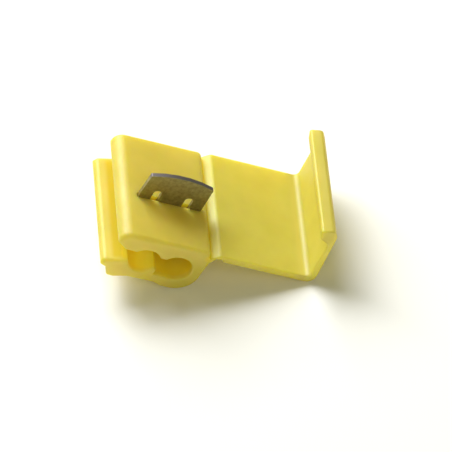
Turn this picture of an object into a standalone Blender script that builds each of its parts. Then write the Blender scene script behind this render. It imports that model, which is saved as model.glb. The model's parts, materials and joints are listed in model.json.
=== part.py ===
"""Quick-splice tap connector, lying open.

A moulded housing with two joined wire channels, a slotted contact blade standing
in its top, and a cover that folds over on a thin web and hooks under the housing.
Outlines are drawn in the housing's own frame, in millimetres: X from the housing
towards the open cover, Y along the wires, Z up out of the housing's top, which is
Z = 0. The whole frame is then tilted so that the connector lies on a floor.
"""

import math

import bmesh
import bpy
from mathutils import Matrix, Vector

MM = 0.001

# Driving dimensions of the connector, in millimetres and degrees.
LENGTH = 25.0
TILT = 23.7
SEAM = 0.3

LEFT_FACE = -0.5
RIGHT_WALL = 17.4
LEDGE_X = -1.1
LEDGE_Z = -9.1
FLOOR_Z = -10.75
BELLY_Z = -11.4
BELLY_R = 4.4
FOOT_Z = -11.55
EDGE_ROUND = 0.6

CHANNEL_Z = -5.9
CHANNEL_R = 3.0
RUN_X = 6.1
TAP_X = 12.3
TAP_STOP = 3.0
WAIST = (-7.8, -4.25)
THROAT = (-6.9, -4.0)
MOUTH_REACH = 3.0
MOUTH_FLARE = (-1.5, 3.2)
OVERCUT = 1.0

BLADE_X = (2.85, 15.45)
BLADE_Y = -2.05
BLADE_THICK = 0.8
SHOULDER_X = 3.2
SHOULDER_Z = 5.8
CROWN_Z = 6.85
BLADE_FOOT_Z = -2.7
SLOT_W = 1.55
SLOT_TOP_Z = 2.5
POCKET_FLOOR_Z = -9.8
POCKET_PLAY = 0.3

PIVOT_X = 17.0
PIVOT_Z = 0.15
WEB_TOP_X = 18.6
WEB_THICK = 0.65
WEB_ROOT_Z = (-2.1, -1.15)
PANEL_X = (20.1, 36.3)
PANEL_THICK = 1.5

FLAP_THICK = 1.35
FLAP_LEAN = 0.5
FLAP_TOP = 12.6
HOOK_ROOT_Z = 9.3
HOOK_TIP = (-2.35, 10.1)
HOOK_NOSE = (-3.0, 12.1)
FOLD_ROUND = 1.5

ARC_STEP = math.radians(15)
HOLE_SIDES = 36

YELLOW = (0.72, 0.56, 0.07, 1)
WEB_YELLOW = (0.78, 0.63, 0.12, 1)
BRONZE = (0.22, 0.19, 0.12, 1)


def clear_scene():
    for obj in list(bpy.data.objects):
        bpy.data.objects.remove(obj)


def new_collection(name):
    collection = bpy.data.collections.new(name)
    bpy.context.scene.collection.children.link(collection)
    return collection


def plastic(name, colour):
    return principled(name, colour, roughness=0.38, metallic=0.0)


def principled(name, colour, roughness, metallic):
    material = bpy.data.materials.new(name)
    material.use_nodes = True
    shader = material.node_tree.nodes["Principled BSDF"]
    shader.inputs["Base Color"].default_value = colour
    shader.inputs["Roughness"].default_value = roughness
    shader.inputs["Metallic"].default_value = metallic
    return material


def arc(centre, radius, start, end):
    """Points from one angle to another round a centre, the short way that the sign of end - start gives."""
    steps = max(2, math.ceil(abs(end - start) / ARC_STEP))
    angles = [start + (end - start) * i / steps for i in range(steps + 1)]
    return [(centre[0] + radius * math.cos(a), centre[1] + radius * math.sin(a)) for a in angles]


def fillet(before, corner, after, radius):
    """The corner's own point, or the arc of this radius that rounds it off."""
    if radius == 0:
        return [tuple(corner)]
    to_before = (before - corner).normalized()
    to_after = (after - corner).normalized()
    half = to_before.angle(to_after) / 2
    centre = corner + (to_before + to_after).normalized() * radius / math.sin(half)
    first = corner + to_before * radius / math.tan(half) - centre
    last = corner + to_after * radius / math.tan(half) - centre
    start = math.atan2(first.y, first.x)
    sweep = math.remainder(math.atan2(last.y, last.x) - start, 2 * math.pi)
    return arc(centre, radius, start, start + sweep)


def rounded(corners):
    """A closed outline from corners given as (x, z, radius)."""
    points = [Vector(corner[:2]) for corner in corners]
    outline = []
    for i, corner in enumerate(corners):
        outline += fillet(points[i - 1], points[i], points[(i + 1) % len(points)], corner[2])
    return outline


def slab(name, outline, depth, parent, origin=(0, 0), y=0.0):
    """A mesh object: the outline, in the housing's X and Z, made depth thick along Y about y."""
    curve = bpy.data.curves.new(name, "CURVE")
    curve.dimensions = "2D"
    curve.fill_mode = "BOTH"
    curve.extrude = depth * MM / 2
    spline = curve.splines.new("POLY")
    spline.points.add(len(outline) - 1)
    for point, (x, z) in zip(spline.points, outline):
        point.co = ((x - origin[0]) * MM, (z - origin[1]) * MM, 0, 1)
    spline.use_cyclic_u = True
    drawn = bpy.data.objects.new(name + "_outline", curve)
    bpy.context.scene.collection.objects.link(drawn)
    bpy.context.view_layer.update()
    mesh = bpy.data.meshes.new_from_object(drawn.evaluated_get(bpy.context.evaluated_depsgraph_get()))
    bpy.data.objects.remove(drawn)
    mesh.transform(Matrix.Rotation(math.pi / 2, 4, "X"))
    weld(mesh)
    solid = bpy.data.objects.new(name, mesh)
    solid.parent = parent
    solid.location = (0, y * MM, 0)
    return solid


def weld(mesh):
    """Joins a filled curve's loose caps to its sides, with every face pointing out."""
    form = bmesh.new()
    form.from_mesh(mesh)
    bmesh.ops.remove_doubles(form, verts=form.verts, dist=1e-7)
    bmesh.ops.recalc_face_normals(form, faces=form.faces)
    form.to_mesh(mesh)
    form.free()


def finish(solid, collection, material):
    """Puts a finished sub-part in its collection, coloured and shaded smooth."""
    collection.objects.link(solid)
    solid.data.materials.clear()
    solid.data.materials.append(material)
    solid.data.shade_smooth()
    solid.data.set_sharp_from_angle(angle=math.radians(35))
    return solid


def round_edges(solid, width):
    """Rounds the rims of both end faces, and leaves the arcs of the outline as they are."""
    bevel = solid.modifiers.new("rims", "BEVEL")
    bevel.width = width * MM
    bevel.segments = 3
    bevel.limit_method = "ANGLE"
    bevel.angle_limit = math.radians(50)


def cut(solid, cutter, collection):
    collection.objects.link(cutter)
    cutter.hide_render = True
    cutter.display_type = "WIRE"
    boolean = solid.modifiers.new("cut_" + cutter.name, "BOOLEAN")
    boolean.operation = "DIFFERENCE"
    boolean.solver = "EXACT"
    boolean.object = cutter


def empty_at(name, parent, collection, x, z):
    """An empty on a joint's axis, given in the housing's frame."""
    holder = bpy.data.objects.new(name, None)
    holder.empty_display_size = 2 * MM
    holder.parent = parent
    holder.location = (x * MM, 0, z * MM)
    collection.objects.link(holder)
    return holder


def housing_outline():
    """The cross-section's outside: flat top, round belly under the tap channel, and a ledge to hook on."""
    return rounded(
        [
            (LEFT_FACE, 0, 1.4),
            (RIGHT_WALL, 0, 1.1),
            (RIGHT_WALL, -5.0, 0),
            (RIGHT_WALL - 0.1, BELLY_Z, BELLY_R),
            (11.6, BELLY_Z, 1.5),
            (9.8, FLOOR_Z, 1.5),
            (3.4, FLOOR_Z, 0.8),
            (2.4, FOOT_Z, 0.4),
            (1.15, FOOT_Z, 0.5),
            (0.25, LEDGE_Z - 0.45, 0.3),
            (LEDGE_X, LEDGE_Z, 0.25),
            (LEFT_FACE - 0.3, THROAT[0] - 0.9, 0.8),
            (LEFT_FACE, THROAT[1], 0),
        ]
    )


def run_channel_outline():
    """The round run channel and the flared mouth that opens it to the left."""
    upper = math.pi - math.asin((THROAT[1] - CHANNEL_Z) / CHANNEL_R)
    lower = math.asin((CHANNEL_Z - THROAT[0]) / CHANNEL_R) - math.pi
    outside = LEFT_FACE - MOUTH_REACH
    mouth = rounded(
        [
            (outside, THROAT[0] + MOUTH_FLARE[0], 0),
            (outside, THROAT[1] + MOUTH_FLARE[1], 0),
            (1.6, THROAT[1], 0.8),
            (3.0, THROAT[1], 0),
        ]
    )
    return mouth + arc((RUN_X, CHANNEL_Z), CHANNEL_R, upper, lower) + [(2.2, THROAT[0])]


def blind_span():
    """Depth and middle, along Y, of a cut that starts in front of the housing and leaves the stop at its back."""
    return LENGTH - TAP_STOP + OVERCUT, -(TAP_STOP + OVERCUT) / 2


def tap_channel_cutter(frame):
    """A blind round hole from the front face, which stops short of the back."""
    depth, middle = blind_span()
    form = bmesh.new()
    bmesh.ops.create_cone(
        form,
        cap_ends=True,
        segments=HOLE_SIDES,
        radius1=CHANNEL_R * MM,
        radius2=CHANNEL_R * MM,
        depth=depth * MM,
        matrix=Matrix.Rotation(math.pi / 2, 4, "X"),
    )
    mesh = bpy.data.meshes.new("tap_channel")
    form.to_mesh(mesh)
    form.free()
    cutter = bpy.data.objects.new("tap_channel", mesh)
    cutter.parent = frame
    cutter.location = (TAP_X * MM, middle * MM, CHANNEL_Z * MM)
    return cutter


def box_cutter(name, frame, x, z, depth, y):
    outline = [(x[0], z[0]), (x[0], z[1]), (x[1], z[1]), (x[1], z[0])]
    return slab(name, outline, depth, frame, y=y)


def make_housing(frame, parts, cutters, material):
    housing = slab("housing_base", housing_outline(), LENGTH, frame)
    round_edges(housing, EDGE_ROUND)
    cut(housing, slab("run_channel", run_channel_outline(), LENGTH + 2 * OVERCUT, frame), cutters)
    cut(housing, tap_channel_cutter(frame), cutters)
    waist_x = (RUN_X + CHANNEL_R * 0.8, TAP_X - CHANNEL_R * 0.8)
    cut(housing, box_cutter("waist", frame, waist_x, WAIST, *blind_span()), cutters)
    pocket_x = (BLADE_X[0] - POCKET_PLAY, BLADE_X[1] + POCKET_PLAY)
    pocket_z = (POCKET_FLOOR_Z, OVERCUT)
    thick = BLADE_THICK + 2 * POCKET_PLAY
    cut(housing, box_cutter("blade_pocket", frame, pocket_x, pocket_z, thick, BLADE_Y), cutters)
    return finish(housing, parts, material)


def slot_outline(centre):
    """One slot of the blade, from right to left: up one side, over the round top and down the other."""
    half = SLOT_W / 2
    top = arc((centre, SLOT_TOP_Z - half), half, 0, math.pi)
    return [(centre + half, BLADE_FOOT_Z)] + top + [(centre - half, BLADE_FOOT_Z)]


def crown_outline():
    """The blade's domed top, a single arc from the left shoulder to the right one."""
    half = (BLADE_X[1] - SHOULDER_X) / 2
    rise = CROWN_Z - SHOULDER_Z
    radius = (half * half + rise * rise) / (2 * rise)
    reach = math.asin(half / radius)
    centre = (SHOULDER_X + half, CROWN_Z - radius)
    steps = 12
    angles = [math.pi / 2 + reach * (1 - 2 * i / steps) for i in range(steps + 1)]
    return [(centre[0] + radius * math.cos(a), centre[1] + radius * math.sin(a)) for a in angles]


def make_blade(frame, parts, material):
    outline = [(BLADE_X[0], BLADE_FOOT_Z)]
    outline += crown_outline()
    outline += [(BLADE_X[1], BLADE_FOOT_Z)]
    outline += slot_outline(TAP_X)
    outline += slot_outline(RUN_X)
    blade = slab("contact_blade", outline, BLADE_THICK, frame, y=BLADE_Y)
    round_edges(blade, 0.08)
    return finish(blade, parts, material)


def make_web(frame, parts, material):
    """The thin fold between housing and cover, with a groove above and an arch below."""
    outline = rounded(
        [
            (RIGHT_WALL + SEAM, WEB_ROOT_Z[1], 0),
            (WEB_TOP_X, 0, 0.3),
            (PANEL_X[0] - SEAM, 0, 0),
            (PANEL_X[0] - SEAM, -PANEL_THICK + SEAM, 0),
            (WEB_TOP_X + 0.6, -WEB_THICK, 0.6),
            (WEB_TOP_X, -WEB_THICK - 0.1, 0.6),
            (RIGHT_WALL + SEAM, WEB_ROOT_Z[0], 0),
        ]
    )
    web = slab("hinge_web", outline, LENGTH, frame)
    return finish(web, parts, material)


def make_panel(hinge, parts, material):
    outline = [
        (PANEL_X[0], -PANEL_THICK),
        (PANEL_X[0], 0),
        (PANEL_X[1] - SEAM, 0),
        (PANEL_X[1] - SEAM, -PANEL_THICK),
    ]
    panel = slab("cover_panel", outline, LENGTH, hinge, origin=(PIVOT_X, PIVOT_Z))
    round_edges(panel, 0.2)
    return finish(panel, parts, material)


def flap_outline():
    """The upright flap and the hook along its top, leaning in towards the housing."""
    inner = PANEL_X[1]
    return rounded(
        [
            (inner, -PANEL_THICK, 0.2),
            (inner, 0, 0),
            (inner - FLAP_LEAN, HOOK_ROOT_Z, 0.3),
            (inner + HOOK_TIP[0], HOOK_TIP[1], 0.3),
            (inner + HOOK_NOSE[0], HOOK_NOSE[1], 0.4),
            (inner - 0.7, FLAP_TOP, 0.8),
            (inner + 0.45, FLAP_TOP - 1.3, 0.6),
            (inner + FLAP_THICK, 1.0, 0),
            (inner + FLAP_THICK, -PANEL_THICK, FOLD_ROUND),
        ]
    )


def make_flap(fold, parts, material):
    flap = slab("latch_flap", flap_outline(), LENGTH, fold, origin=fold_axis())
    round_edges(flap, 0.2)
    return finish(flap, parts, material)


def fold_axis():
    """Where the flap bends, in the middle of the cover's corner."""
    return (PANEL_X[1] + FLAP_THICK / 2, -PANEL_THICK / 2)


def stand_on_floor(frame, parts):
    """Moves the whole tilted frame so that the middle of the connector's underside is the origin."""
    bpy.context.view_layer.update()
    graph = bpy.context.evaluated_depsgraph_get()
    points = []
    for obj in parts.objects:
        if obj.type == "MESH":
            shape = obj.evaluated_get(graph)
            points += [shape.matrix_world @ vertex.co for vertex in shape.data.vertices]
    low = Vector(min(point[i] for point in points) for i in range(3))
    high = Vector(max(point[i] for point in points) for i in range(3))
    frame.location -= Vector(((low.x + high.x) / 2, (low.y + high.y) / 2, low.z))


def main():
    clear_scene()
    parts = new_collection("tap_splice_connector")
    cutters = new_collection("cutters")
    frame = empty_at("housing_frame", None, parts, 0, 0)
    frame.rotation_euler = (0, math.radians(TILT), 0)
    hinge = empty_at("cover_hinge_axis", frame, parts, PIVOT_X, PIVOT_Z)
    fold_x, fold_z = fold_axis()
    fold = empty_at("latch_fold_axis", hinge, parts, fold_x - PIVOT_X, fold_z - PIVOT_Z)
    yellow = plastic("yellow_nylon", YELLOW)
    make_housing(frame, parts, cutters, yellow)
    make_blade(frame, parts, principled("plated_bronze", BRONZE, roughness=0.35, metallic=1.0))
    make_web(frame, parts, plastic("thin_nylon", WEB_YELLOW))
    make_panel(hinge, parts, plastic("cover_nylon", YELLOW))
    make_flap(fold, parts, plastic("flap_nylon", YELLOW))
    stand_on_floor(frame, parts)


main()
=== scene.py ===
"""Looks of the quick-splice tap connector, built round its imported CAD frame.

Outlines are drawn in the housing's own frame, in millimetres, as in the part's source:
X from the housing towards the open cover, Y along the wires, Z up out of the housing's
top. The frame's joints say where that frame lies.
"""

import json
import math

import bmesh
import bpy
from mathutils import Matrix, Vector


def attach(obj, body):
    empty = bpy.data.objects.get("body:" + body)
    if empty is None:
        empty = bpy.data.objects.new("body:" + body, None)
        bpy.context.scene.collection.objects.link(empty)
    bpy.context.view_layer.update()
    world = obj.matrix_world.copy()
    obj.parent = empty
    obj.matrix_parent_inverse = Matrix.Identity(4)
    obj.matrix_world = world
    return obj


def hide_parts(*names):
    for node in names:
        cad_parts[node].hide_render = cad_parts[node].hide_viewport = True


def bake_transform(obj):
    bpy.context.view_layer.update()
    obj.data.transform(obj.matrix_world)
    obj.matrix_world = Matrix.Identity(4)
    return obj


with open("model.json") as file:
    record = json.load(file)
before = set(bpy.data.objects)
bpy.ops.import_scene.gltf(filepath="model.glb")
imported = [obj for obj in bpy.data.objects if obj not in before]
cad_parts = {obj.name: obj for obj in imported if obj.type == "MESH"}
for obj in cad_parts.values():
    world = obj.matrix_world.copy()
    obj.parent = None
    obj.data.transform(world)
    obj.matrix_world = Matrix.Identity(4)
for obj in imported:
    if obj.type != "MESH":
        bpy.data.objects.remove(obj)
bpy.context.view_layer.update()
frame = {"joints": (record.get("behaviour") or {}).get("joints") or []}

MM = 0.001
FRONT = -12.5
BACK = 12.5
PIVOT = (17.0, 0.15)

ARC_STEP = math.radians(7.5)
SHARP_ANGLE = math.radians(40)
RIM_STEPS = 6

# Housing and cover, in millimetres.
LEFT_FACE = -0.5
RIGHT_WALL = 17.4
FLOOR_Z = -10.75
BELLY_Z = -11.4
FOOT_Z = -11.55
CHANNEL_Z = -5.9
CHANNEL_R = 3.0
RUN_X = 6.1
TAP_X = 12.3
TAP_END = 9.5
WAIST_X = 8.5
WAIST_Z = (-8.7, -4.25)
RIDGE = (9.0, -7.5)
LIP_Z = -6.9
MOUTH_Z = -4.0
OPENING_RIM = 0.35
POCKET_GAP = 0.08
POCKET_FLOOR_Z = -9.8
OVERCUT = 1.0
PANEL_THICK = 1.5
SEAM_X = 35.0
CORNER_X = 36.3
BACK_RIM_SHARE = 0.7
GROOVE = (17.05, -1.4)

# The web between housing and cover, and where it starts and ends along it, in millimetres.
WEB_START = 17.05
WEB_END = 19.8
WEB_UNDERSIDE_Z = -3.0
WEB_STEP = 0.2

# Contact blade, in millimetres.
BLADE_X = (2.85, 15.45)
BLADE_Y = -2.05
BLADE_THICK = 0.9
SHOULDER = (3.2, 5.8)
SHOULDER_R = 0.25
CROWN_Z = 6.85
CROWN_SHARE = 0.96
BLADE_FOOT_Z = -2.7
BLADE_RIM = 0.07
SLOT_W = 1.55
SLOT_TOP_Z = 2.5

# Colours, each pair from its darker to its lighter patches, and the glow's share of the nylon.
SKIN = ((0.72, 0.64, 0.075, 1), (0.81, 0.71, 0.115, 1))
# Painted shade: a darker, deeper yellow painted on the side of the lip that faces the run channel.
LIP_PAINTED_SHADE_TINT = (0.72, 0.58, 0.004, 1)
# Painted glow and shade: a brighter, deeper yellow painted in the channels and the groove, standing
# for light that comes through the walls and the shade in the crease.
PAINTED_GLOW_TINT = (1.0, 0.74, 0.003, 1)
GLOW_TINT = (0.98, 0.86, 0.10, 1)
GLOW_SHARE = 0.28
STRIP = ((0.27, 0.24, 0.11, 1), (0.44, 0.39, 0.19, 1))
# Painted reflection: the blade's top edge is tinted dark grey, standing for the dark surroundings
# it reflects.
EDGE_PAINTED_REFLECTION_TINT = (0.20, 0.18, 0.18, 1)
FLOOR_COLOUR = (0.97, 0.97, 0.97, 1)

# Camera and floor, in degrees and metres.
VIEW_AZIMUTH = -5.08
VIEW_ELEVATION = 49.04
VIEW_ROLL = 0.84
VIEW_DISTANCE = 0.8333
VIEW_TARGET = (0.00193, -0.00345, 0.00647)
LENS_MM = 363.2
FLOOR_SIZE = 6.0


def housing_frame():
    """Places the housing's own frame in the row frame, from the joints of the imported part."""
    joints = {joint["name"]: joint for joint in frame["joints"]}
    down = joints["contact_press"]["axis"]
    tilt = math.atan2(-down[0], -down[2])
    hinge = Matrix.Translation(joints["cover_hinge"]["pos_m"])
    pivot = Matrix.Translation((-PIVOT[0] * MM, 0, -PIVOT[1] * MM))
    return hinge @ Matrix.Rotation(tilt, 4, "Y") @ pivot


HOUSING = housing_frame()


# ---------------------------------------------------------------- outlines


def arc(centre, radius, start, end, rim):
    """Points from one angle to another round a centre, each with its rim radius."""
    steps = max(2, math.ceil(abs(end - start) / ARC_STEP))
    angles = [start + (end - start) * i / steps for i in range(steps + 1)]
    return [
        (Vector((centre[0] + radius * math.cos(a), centre[1] + radius * math.sin(a))), rim)
        for a in angles
    ]


def fillet(before, corner, after, radius, rim):
    """The corner's own point, or the arc of this radius that rounds it off."""
    if radius == 0:
        return [(corner, rim)]
    to_before = (before - corner).normalized()
    to_after = (after - corner).normalized()
    half = to_before.angle(to_after) / 2
    centre = corner + (to_before + to_after).normalized() * radius / math.sin(half)
    first = corner + to_before * radius / math.tan(half) - centre
    last = corner + to_after * radius / math.tan(half) - centre
    start = math.atan2(first.y, first.x)
    sweep = math.remainder(math.atan2(last.y, last.x) - start, 2 * math.pi)
    return arc(centre, radius, start, start + sweep, rim)


def rounded(corners, before=None, after=None):
    """Points of an outline from corners given as (x, z, corner radius, rim radius).

    The outline is closed unless it is given the points that come before and after it.
    """
    points = [Vector(corner[:2]) for corner in corners]
    path = [before or points[-1]] + points + [after or points[0]]
    outline = []
    for i, corner in enumerate(corners):
        outline += fillet(path[i], path[i + 1], path[i + 2], corner[2], corner[3])
    return outline


def inward_moves(points):
    """For each point of a closed outline, the move that brings both its edges in by one unit."""
    count = len(points)
    area = sum(points[i - 1].cross(points[i]) for i in range(count))
    turn = math.copysign(1, area)
    sides = []
    for i in range(count):
        edge = (points[(i + 1) % count] - points[i]).normalized()
        sides.append(Vector((-edge.y, edge.x)) * turn)
    return [(sides[i - 1] + sides[i]) / (1 + sides[i - 1].dot(sides[i])) for i in range(count)]


def rim_rings(outline, share, face, into):
    """Loops of points over one rolled rim, from the side wall to the flat end at Y = face.

    Each point's own rim radius is used at this share, and a share of 0 leaves the rim sharp.
    Into is the direction of Y from the end into the solid. A rim runs straight on across the
    seam of the moulding.
    """
    points = [point for point, rim in outline]
    moves = inward_moves(points)
    for point, move in zip(points, moves):
        if point.x == SEAM_X:
            move.x = 0
    rims = [rim * share for point, rim in outline]
    steps = RIM_STEPS if share else 0
    rings = []
    for angle in [math.pi / 2 * i / RIM_STEPS for i in range(steps + 1)]:
        ring = []
        for point, move, rim in zip(points, moves, rims):
            spot = point + move * rim * (1 - math.cos(angle))
            y = face + into * abs(rim) * (1 - math.sin(angle))
            ring.append((spot.x * MM, y * MM, spot.y * MM))
        rings.append(ring)
    return rings


def rolled_prism(name, outline, front, back, rim_shares=(1, 1), bars=()):
    """A closed mesh of the outline from front to back, with its rims rolled over.

    Each point has its own rim radius; a negative one flares outwards. The front and back rims
    use these shares of it. Bars are pairs of points between which the end faces are divided.
    """
    front_rings = rim_rings(outline, rim_shares[0], front, 1)
    back_rings = rim_rings(outline, rim_shares[1], back, -1)
    form = bmesh.new()
    loops = [[form.verts.new(co) for co in ring] for ring in front_rings[::-1] + back_rings]
    for lower, upper in zip(loops, loops[1:]):
        for i in range(len(lower)):
            form.faces.new((lower[i - 1], lower[i], upper[i], upper[i - 1]))
    form.faces.new(loops[0])
    form.faces.new(loops[-1][::-1])
    for loop in (loops[0], loops[-1]):
        for first, second in bars:
            shared = [face for face in loop[first].link_faces if face in loop[second].link_faces]
            bmesh.utils.face_split(shared[0], loop[first], loop[second])
    bmesh.ops.remove_doubles(form, verts=form.verts, dist=1e-8)
    bmesh.ops.recalc_face_normals(form, faces=form.faces)
    mesh = bpy.data.meshes.new(name)
    form.to_mesh(mesh)
    form.free()
    solid = bpy.data.objects.new(name, mesh)
    bpy.context.scene.collection.objects.link(solid)
    return solid


def cut_out(solid, cutter):
    """Takes the cutter's shape out of the solid's mesh, and removes the cutter."""
    boolean = solid.modifiers.new("cut", "BOOLEAN")
    boolean.operation = "DIFFERENCE"
    boolean.solver = "EXACT"
    boolean.object = cutter
    bpy.context.view_layer.update()
    graph = bpy.context.evaluated_depsgraph_get()
    mesh = bpy.data.meshes.new_from_object(solid.evaluated_get(graph))
    solid.modifiers.clear()
    solid.data = mesh
    bpy.data.objects.remove(cutter)


def dress(solid, material):
    """Moves the piece to where it lies and smooths it.

    The material finds each point's place in the housing's own frame in the attribute moulded_at.
    """
    mesh = solid.data
    where = mesh.attributes.new("moulded_at", "FLOAT_VECTOR", "POINT")
    for i, vertex in enumerate(mesh.vertices):
        where.data[i].vector = vertex.co / MM
    mesh.transform(HOUSING)
    mesh.materials.clear()
    mesh.materials.append(material)
    mesh.shade_smooth()
    mesh.set_sharp_from_angle(angle=SHARP_ANGLE)
    normals = solid.modifiers.new("even_faces", "WEIGHTED_NORMAL")
    normals.keep_sharp = True
    normals.weight = 100


# ---------------------------------------------------------------- moulding


def run_channel_edge():
    """The run channel's round wall, from the lip round the back to the slab above."""
    lower = math.asin((CHANNEL_Z - LIP_Z) / CHANNEL_R) - math.pi
    upper = math.pi - math.asin((MOUTH_Z - CHANNEL_Z) / CHANNEL_R)
    return arc((RUN_X, CHANNEL_Z), CHANNEL_R, lower, upper, OPENING_RIM)


def main_outline():
    """The cross-section of housing, web and cover panel, as one moulding."""
    channel = run_channel_edge()
    solid_side = rounded(
        [
            # The lead-in under the slab, the slab's nose and its top.
            (1.6, MOUTH_Z, 0.9, 0.5),
            (LEFT_FACE, -2.7, 0.7, 0.8),
            (LEFT_FACE, 0, 2.1, 1.0),
            (16.95, 0, 1.1, 0.8),
            # The groove, the web and the cover panel.
            (17.1, -1.5, 0.12, 0.12),
            (18.6, 0, 1.1, 0.25),
            (WEB_END, 0, 0, 0.3),
            (SEAM_X, 0, 0, 0.3),
            (SEAM_X, -PANEL_THICK, 0, 0.3),
            (WEB_END, -PANEL_THICK, 0.35, 0.3),
            (18.7, -0.3, 0.8, 0.15),
            # The right wall, the belly and the underside.
            (RIGHT_WALL, -2.6, 0.5, 0.12),
            (RIGHT_WALL, -5.0, 0, 0.5),
            (RIGHT_WALL - 0.1, BELLY_Z, 4.4, 0.6),
            (11.6, BELLY_Z, 1.5, 0.6),
            (9.8, FLOOR_Z, 1.5, 0.5),
            (4.6, FLOOR_Z, 1.5, 0.4),
            # The foot rib, the ledge that the hook grips, and the lip.
            (2.2, FOOT_Z, 0.8, 0.35),
            (0.88, FOOT_Z, 0.5, 0.4),
            (0.03, -9.55, 0.3, 0.3),
            (-1.35, -9.1, 0.4, 0.35),
            (-1.1, -7.75, 0.95, 0.8),
            (2.3, LIP_Z, 0.8, 0.45),
        ],
        before=channel[-1][0],
        after=channel[0][0],
    )
    return channel + solid_side


def in_web(point):
    """Whether a point of the main outline is on the thin web."""
    return WEB_START < point.x <= WEB_END and point.y > WEB_UNDERSIDE_Z


def divided_web(outline):
    """The outline with its straight stretches through the web divided into short steps."""
    fine = []
    for i, (point, rim) in enumerate(outline):
        before, _ = outline[i - 1]
        parts = 1
        if all(in_web(end) for end in (before, point)):
            parts = math.ceil((point - before).length / WEB_STEP)
        fine += [(before.lerp(point, k / parts), rim) for k in range(1, parts)]
        fine.append((point, rim))
    return fine


def web_bars(outline):
    """Pairs of points across the web from each other, which leave only triangles between them."""
    seam = next(i for i, (point, rim) in enumerate(outline) if point.x == SEAM_X)
    web = [i for i, (point, rim) in enumerate(outline) if in_web(point)]
    above = [i for i in web if i < seam]
    below = [i for i in web if i > seam][::-1]

    def following_x(side):
        return outline[side[1]][0].x if len(side) > 1 else math.inf

    bars = [(above[0], below[0])]
    while len(above) + len(below) > 2:
        min(below, above, key=following_x).pop(0)
        bars.append((above[0], below[0]))
    return bars


def tap_cutter():
    """A blind round channel and the waist that joins it to the run channel."""
    low, high = WAIST_Z
    reach = math.sqrt(CHANNEL_R ** 2 - (high - CHANNEL_Z) ** 2)
    upper = math.pi - math.atan2(high - CHANNEL_Z, reach)
    drop = math.sqrt(CHANNEL_R ** 2 - (low - CHANNEL_Z) ** 2)
    lower = math.atan2(low - CHANNEL_Z, -drop)
    outline = arc((TAP_X, CHANNEL_Z), CHANNEL_R, upper, lower, -OPENING_RIM)
    steps = [(RIDGE[0], low), RIDGE, (WAIST_X, RIDGE[1]), (WAIST_X, high)]
    outline += [(Vector(step), -OPENING_RIM) for step in steps]
    return rolled_prism("tap_channel", outline, FRONT, TAP_END, rim_shares=(1, 0))


def pocket_cutter():
    """The slot that the contact blade stands in, as deep as the blade goes when pressed."""
    left = BLADE_X[0] - POCKET_GAP
    right = BLADE_X[1] + POCKET_GAP
    half = BLADE_THICK / 2 + POCKET_GAP
    low, high = POCKET_FLOOR_Z, OVERCUT
    corners = [(left, low), (right, low), (right, high), (left, high)]
    outline = [(Vector(corner), 0) for corner in corners]
    return rolled_prism("pocket", outline, BLADE_Y - half, BLADE_Y + half, rim_shares=(0, 0))


def make_body(material):
    """Housing, web and cover panel in one piece."""
    outline = divided_web(main_outline())
    shares = (1, BACK_RIM_SHARE)
    body = rolled_prism("housing_and_cover", outline, FRONT, BACK, shares, web_bars(outline))
    cut_out(body, tap_cutter())
    cut_out(body, pocket_cutter())
    dress(body, material)
    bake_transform(body)
    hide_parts("housing_base", "hinge_web", "cover_panel")


def flap_outline():
    """The cover's outer corner, with the latch flap and its hook in one piece."""
    return rounded(
        [
            (SEAM_X, 0, 0, 0.3),
            (CORNER_X, 0, 1.0, 0.3),
            (CORNER_X - 0.5, 9.3, 0.8, 0.3),
            (CORNER_X - 2.35, 10.1, 0.45, 0.35),
            (CORNER_X - 3.1, 12.35, 0.45, 0.3),
            (CORNER_X - 0.7, 12.95, 0.9, 0.3),
            (CORNER_X + 0.45, 11.3, 0.9, 0.4),
            (CORNER_X + 1.35, 1.0, 4.0, 0.35),
            (CORNER_X + 1.35, -PANEL_THICK, 1.7, 0.35),
            (SEAM_X, -PANEL_THICK, 0, 0.3),
        ]
    )


def make_flap(material):
    """The latch flap with the cover's outer corner, in one piece."""
    shares = (1, BACK_RIM_SHARE)
    flap = rolled_prism("latch_flap_and_corner", flap_outline(), FRONT, BACK, shares)
    dress(flap, material)
    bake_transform(flap)
    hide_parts("latch_flap")


# ---------------------------------------------------------------- blade


def slot_points(centre):
    """One slot of the blade: up its right side, over its round top and down its left side."""
    half = SLOT_W / 2
    top = arc((centre, SLOT_TOP_Z - half), half, 0, math.pi, BLADE_RIM)
    right, left = [(Vector((x, BLADE_FOOT_Z)), BLADE_RIM) for x in (centre + half, centre - half)]
    return [right] + top + [left]


def shoulder(x, before, after):
    """One rounded shoulder of the blade, between the points before and after it."""
    return rounded([(x, SHOULDER[1], SHOULDER_R, BLADE_RIM)], before=before, after=after)


def blade_outline():
    """The blade from its left foot over its crown to its right foot, and back along the slots."""
    half = (BLADE_X[1] - SHOULDER[0]) / 2
    rise = CROWN_Z - SHOULDER[1]
    radius = (half * half + rise * rise) / (2 * rise)
    reach = math.asin(half / radius) * CROWN_SHARE
    centre = (SHOULDER[0] + half, CROWN_Z - radius)
    crown = arc(centre, radius, math.pi / 2 + reach, math.pi / 2 - reach, BLADE_RIM)
    left = shoulder(SHOULDER[0], Vector((BLADE_X[0], 0)), crown[0][0])
    right = shoulder(BLADE_X[1], crown[-1][0], Vector((BLADE_X[1], 0)))
    left_foot, right_foot = [(Vector((x, BLADE_FOOT_Z)), BLADE_RIM) for x in BLADE_X]
    slots = slot_points(TAP_X) + slot_points(RUN_X)
    return [left_foot] + left + crown + right + [right_foot] + slots


def make_blade(material):
    half = BLADE_THICK / 2
    blade = rolled_prism("slotted_blade", blade_outline(), BLADE_Y - half, BLADE_Y + half)
    dress(blade, material)
    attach(blade, "blade")
    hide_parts("contact_blade")


# ---------------------------------------------------------------- materials


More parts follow.
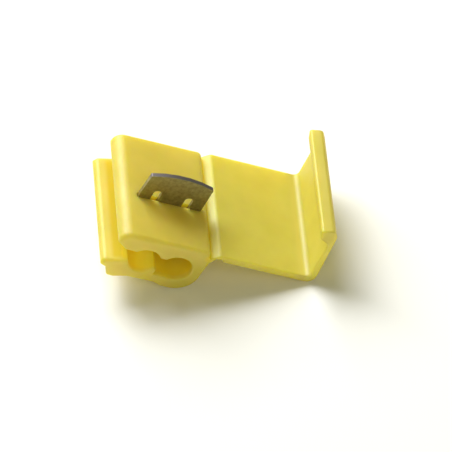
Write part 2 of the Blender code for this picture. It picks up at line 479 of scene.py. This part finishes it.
def new_material(name):
    material = bpy.data.materials.new(name)
    material.use_nodes = True
    tree = material.node_tree
    return material, tree, tree.nodes["Principled BSDF"]


def noise(tree, where, scale, detail=2.0):
    """A noise whose features are about 1/scale millimetres."""
    node = tree.nodes.new("ShaderNodeTexNoise")
    node.inputs["Scale"].default_value = scale
    node.inputs["Detail"].default_value = detail
    tree.links.new(where, node.inputs["Vector"])
    return node.outputs["Fac"]


def ranged(tree, value, low, high, start=0.3, end=0.7):
    """A value between start and end, usually a noise, stretched to run from low to high."""
    node = tree.nodes.new("ShaderNodeMapRange")
    node.inputs["From Min"].default_value = start
    node.inputs["From Max"].default_value = end
    node.inputs["To Min"].default_value = low
    node.inputs["To Max"].default_value = high
    tree.links.new(value, node.inputs["Value"])
    return node.outputs["Result"]


def mixed(tree, factor, first, second):
    """The first colour where the factor is 0 and the second where it is 1."""
    node = tree.nodes.new("ShaderNodeMix")
    node.data_type = "RGBA"
    tree.links.new(factor, node.inputs["Factor"])
    for socket, colour in (("A", first), ("B", second)):
        if isinstance(colour, tuple):
            node.inputs[socket].default_value = colour
        else:
            tree.links.new(colour, node.inputs[socket])
    return node.outputs["Result"]


def moulded_at(tree):
    """The point's place in the housing's own frame, in millimetres."""
    node = tree.nodes.new("ShaderNodeAttribute")
    node.attribute_name = "moulded_at"
    return node.outputs["Vector"]


def bumped(tree, height, distance, normal=None):
    """A normal bent by the height, which stands for this distance in metres."""
    node = tree.nodes.new("ShaderNodeBump")
    node.inputs["Strength"].default_value = 1.0
    node.inputs["Distance"].default_value = distance
    tree.links.new(height, node.inputs["Height"])
    if normal is not None:
        tree.links.new(normal, node.inputs["Normal"])
    return node.outputs["Normal"]


def along(tree, where, axis):
    """One coordinate of a place in the moulding, in millimetres."""
    node = tree.nodes.new("ShaderNodeSeparateXYZ")
    tree.links.new(where, node.inputs["Vector"])
    return node.outputs[axis]


def distance_from(tree, where, x, z):
    """How far a point is, in millimetres, from a line along Y through x and z."""
    flat = tree.nodes.new("ShaderNodeVectorMath")
    flat.operation = "MULTIPLY"
    flat.inputs[1].default_value = (1, 0, 1)
    tree.links.new(where, flat.inputs[0])
    node = tree.nodes.new("ShaderNodeVectorMath")
    node.operation = "DISTANCE"
    node.inputs[1].default_value = (x, 0, z)
    tree.links.new(flat.outputs["Vector"], node.inputs[0])
    return node.outputs["Value"]


def combined(tree, operation, first, second):
    """Two values, or a value and a number, put through one step of arithmetic."""
    node = tree.nodes.new("ShaderNodeMath")
    node.operation = operation
    tree.links.new(first, node.inputs[0])
    if isinstance(second, (int, float)):
        node.inputs[1].default_value = second
    else:
        tree.links.new(second, node.inputs[1])
    return node.outputs["Value"]


def away_from_ends(tree, where):
    """0 on the front and back end faces, rising to 1 a little way inside them."""
    offset = combined(tree, "ABSOLUTE", along(tree, where, "Y"), 0.0)
    return ranged(tree, offset, 1.0, 0.0, BACK - 1.3, BACK - 0.1)


def inside_channels(tree, where):
    """1 on the walls of the wire channels and 0 elsewhere, with a soft edge."""
    run = distance_from(tree, where, RUN_X, CHANNEL_Z)
    tap = distance_from(tree, where, TAP_X, CHANNEL_Z)
    nearest = combined(tree, "MINIMUM", run, tap)
    near = ranged(tree, nearest, 1.0, 0.0, CHANNEL_R + 0.7, CHANNEL_R + 1.2)
    return combined(tree, "MULTIPLY", near, away_from_ends(tree, where))


def groove(tree, where):
    """1 at the bottom of the groove beside the web, and 0 elsewhere."""
    return ranged(tree, distance_from(tree, where, *GROOVE), 1.0, 0.0, 0.4, 1.1)


def lip_inside(tree, where):
    """1 on the side of the lip that faces the run channel, and 0 on the open faces."""
    beside = distance_from(tree, where, RUN_X - 0.8, CHANNEL_Z)
    near = ranged(tree, beside, 1.0, 0.0, CHANNEL_R + 1.6, CHANNEL_R + 2.4)
    below = ranged(tree, along(tree, where, "Z"), 1.0, 0.0, MOUTH_Z - 1.0, MOUTH_Z)
    shape = combined(tree, "MULTIPLY", near, below)
    return combined(tree, "MULTIPLY", shape, away_from_ends(tree, where))


def away_from_seam(tree, where):
    """0 where the two pieces of the moulding meet, rising to 1 a little way from there."""
    offset = combined(tree, "SUBTRACT", along(tree, where, "X"), SEAM_X)
    return ranged(tree, combined(tree, "ABSOLUTE", offset, 0.0), 0.0, 1.0, 0.2, 1.3)


def yellow_nylon():
    """Waxy moulded nylon that lets light through. A brighter, deeper yellow is painted in the
    channels and the groove as painted glow, and a darker, deeper yellow on the lip's channel side
    as painted shade.
    """
    material, tree, shader = new_material("yellow_nylon")
    where = moulded_at(tree)
    # The lip mask carries the painted shade onto the lip's channel side, and also makes it matter.
    lip = lip_inside(tree, where)
    channels = inside_channels(tree, where)
    painted_glow = combined(tree, "MAXIMUM", channels, groove(tree, where))

    cloud = ranged(tree, noise(tree, where, scale=0.16), 0.0, 1.0)
    skin = mixed(tree, cloud, *SKIN)
    # Painted glow in the channels and the groove, and painted shade on the lip's channel side, laid
    # over the skin's random tone.
    colour = mixed(tree, painted_glow, mixed(tree, lip, skin, LIP_PAINTED_SHADE_TINT), PAINTED_GLOW_TINT)
    tree.links.new(colour, shader.inputs["Base Color"])

    gloss = ranged(tree, noise(tree, where, scale=0.9, detail=4.0), 0.50, 0.60)
    matt = combined(tree, "MULTIPLY", combined(tree, "MAXIMUM", channels, lip), 0.4)
    tree.links.new(combined(tree, "ADD", gloss, matt), shader.inputs["Roughness"])

    sink = bumped(tree, noise(tree, where, scale=0.22, detail=1.0), 0.05 * MM)
    grain = bumped(tree, noise(tree, where, scale=7.0, detail=3.0), 0.006 * MM, sink)
    tree.links.new(grain, shader.inputs["Normal"])

    tree.links.new(away_from_seam(tree, where), shader.inputs["Subsurface Weight"])
    shader.inputs["Subsurface Radius"].default_value = (1.0, 0.72, 0.06)
    shader.inputs["Subsurface Scale"].default_value = 4.5 * MM
    shader.inputs["IOR"].default_value = 1.58
    shader.inputs["Specular IOR Level"].default_value = 1.0

    glow = tree.nodes.new("ShaderNodeBsdfTranslucent")
    glow.inputs["Color"].default_value = GLOW_TINT
    both = tree.nodes.new("ShaderNodeMixShader")
    both.inputs["Fac"].default_value = GLOW_SHARE
    tree.links.new(shader.outputs["BSDF"], both.inputs[1])
    tree.links.new(glow.outputs["BSDF"], both.inputs[2])
    tree.links.new(both.outputs["Shader"], tree.nodes["Material Output"].inputs["Surface"])
    return material


def sheared_edge(tree, where):
    """1 on the sheared edge along the top of the blade, and 0 on its faces and further down."""
    offset = combined(tree, "SUBTRACT", along(tree, where, "Y"), BLADE_Y)
    half = BLADE_THICK / 2
    edge = ranged(tree, combined(tree, "ABSOLUTE", offset, 0.0), 1.0, 0.0, half - 0.09, half - 0.03)
    high = ranged(tree, along(tree, where, "Z"), 0.0, 1.0, SHOULDER[1] - 0.8, SHOULDER[1] - 0.2)
    return combined(tree, "MULTIPLY", edge, high)


def plated_bronze():
    """Dull plated bronze strip: a mottled olive face with stamping streaks, and a top edge painted
    dark grey as a painted reflection of the dark surroundings.
    """
    material, tree, shader = new_material("plated_bronze")
    where = moulded_at(tree)
    sheared = sheared_edge(tree, where)

    blotch = ranged(tree, noise(tree, where, scale=1.5, detail=5.0), 0.0, 1.0)
    # The sheared top edge gets the dark grey of the painted reflection.
    colour = mixed(tree, sheared, mixed(tree, blotch, *STRIP), EDGE_PAINTED_REFLECTION_TINT)
    tree.links.new(colour, shader.inputs["Base Color"])

    stretch = tree.nodes.new("ShaderNodeVectorMath")
    stretch.operation = "MULTIPLY"
    stretch.inputs[1].default_value = (6.0, 6.0, 0.5)
    tree.links.new(where, stretch.inputs[0])
    streak = noise(tree, stretch.outputs["Vector"], scale=1.0, detail=3.0)
    dull = ranged(tree, streak, 0.36, 0.52)
    duller = combined(tree, "MULTIPLY", sheared, 0.12)
    tree.links.new(combined(tree, "ADD", dull, duller), shader.inputs["Roughness"])
    tree.links.new(bumped(tree, streak, 0.008 * MM), shader.inputs["Normal"])
    shader.inputs["Metallic"].default_value = 1.0
    return material


# ---------------------------------------------------------------- studio


def make_floor():
    material, tree, shader = new_material("pale_floor")
    shader.inputs["Base Color"].default_value = FLOOR_COLOUR
    shader.inputs["Roughness"].default_value = 0.9
    bpy.ops.mesh.primitive_plane_add(size=FLOOR_SIZE)
    floor = bpy.context.object
    floor.name = "floor"
    floor.data.materials.append(material)


def softbox(name, direction, distance, size, power, colour):
    """A square softbox that looks at the connector from this direction, in metres and watts."""
    light = bpy.data.lights.new(name, "AREA")
    light.shape = "SQUARE"
    light.size = size
    light.energy = power
    light.color = colour
    holder = bpy.data.objects.new(name, light)
    away = Vector(direction).normalized()
    holder.location = away * distance
    holder.rotation_euler = away.to_track_quat("Z", "Y").to_euler()
    bpy.context.scene.collection.objects.link(holder)


def make_lights():
    softbox(
        "back_left_softbox",
        direction=(-0.34, 0.63, 0.70),
        distance=1.0,
        size=0.75,
        power=15.5,
        colour=(1.0, 1.0, 1.0),
    )
    softbox(
        "front_fill",
        direction=(0.15, -0.72, 0.64),
        distance=1.2,
        size=1.0,
        power=3.5,
        colour=(1.0, 0.96, 0.74),
    )
    world = bpy.data.worlds.new("studio")
    bpy.context.scene.world = world
    world.use_nodes = True
    background = world.node_tree.nodes["Background"]
    background.inputs["Color"].default_value = (1.0, 0.98, 0.48, 1)
    background.inputs["Strength"].default_value = 0.14


def make_camera():
    azimuth = math.radians(VIEW_AZIMUTH)
    elevation = math.radians(VIEW_ELEVATION)
    back = Vector(
        (
            math.sin(azimuth) * math.cos(elevation),
            -math.cos(azimuth) * math.cos(elevation),
            math.sin(elevation),
        )
    )
    camera = bpy.data.cameras.new("camera")
    camera.lens = LENS_MM
    camera.sensor_width = 36.0
    camera.clip_start = 0.05
    camera.clip_end = 10.0
    holder = bpy.data.objects.new("camera", camera)
    aim = (-back).to_track_quat("-Z", "Y").to_matrix().to_4x4()
    roll = Matrix.Rotation(math.radians(VIEW_ROLL), 4, "Z")
    place = Matrix.Translation(Vector(VIEW_TARGET) + back * VIEW_DISTANCE)
    holder.matrix_world = place @ aim @ roll
    bpy.context.scene.collection.objects.link(holder)
    bpy.context.scene.camera = holder


bpy.context.scene.view_settings.view_transform = "Standard"
nylon = yellow_nylon()
make_body(nylon)
make_flap(nylon)
make_blade(plated_bronze())
make_floor()
make_lights()
make_camera()
